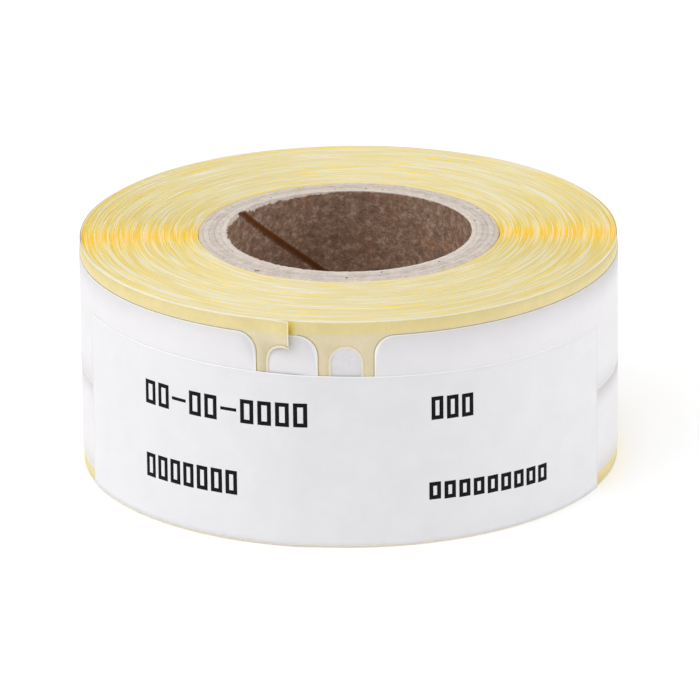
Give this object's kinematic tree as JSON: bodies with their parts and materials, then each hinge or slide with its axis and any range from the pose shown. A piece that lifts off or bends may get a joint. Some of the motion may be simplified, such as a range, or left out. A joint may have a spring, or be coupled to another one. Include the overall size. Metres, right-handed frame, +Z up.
{
  "type": "label roll",
  "caption": "Roll of small die-cut self-adhesive paper labels on a yellow glassine liner, wound on a cardboard core and closed with a plain seal label.",
  "frame": {"origin": "on the bore axis, in the bottom face that the roll stands on", "axes": "+Z up along the bore axis; -Y towards the middle of the closing seal, where the free end is; +X to the right of it"},
  "size_m": [0.0553, 0.0555, 0.0242],
  "materials": {
    "kraft_ply": "matte, fibrous brown kraft with a seam",
    "core_board": "matte grey-beige cut board",
    "glassine_liner": "smooth, slightly glossy yellow release paper",
    "label_paper": "smooth satin white label paper",
    "seal_paper": "smooth satin white paper"
  },
  "bodies": {
    "roll": {"core_inner_ply": "kraft_ply", "core_second_ply": "core_board", "core_middle_ply": "core_board", "core_fourth_ply": "core_board", "core_outer_ply": "core_board", "liner_outer_turn": "glassine_liner", "liner_inner_turns": "glassine_liner", "label_row_2": "label_paper", "strip_row_2": "label_paper", "label_row_3": "label_paper", "strip_row_3": "label_paper", "label_row_4": "label_paper", "strip_row_4": "label_paper", "label_row_5": "label_paper", "strip_row_5": "label_paper", "label_row_6": "label_paper", "strip_row_6": "label_paper", "inner_labels": "label_paper", "inner_strips": "label_paper"},
    "free_end": {"liner_free_end": "glassine_liner", "label_row_1": "label_paper", "strip_row_1": "label_paper", "seal_label": "seal_paper"}
  },
  "joints": [
    {"name": "free_end_swing", "type": "hinge", "parent": "roll", "child": "free_end", "pos_m": [-0.02643, -0.00836, 0.0121], "axis": [0, 0, -1], "range_deg": [0, 35], "deforming": ["label_row_1", "strip_row_1"]}
  ]
}
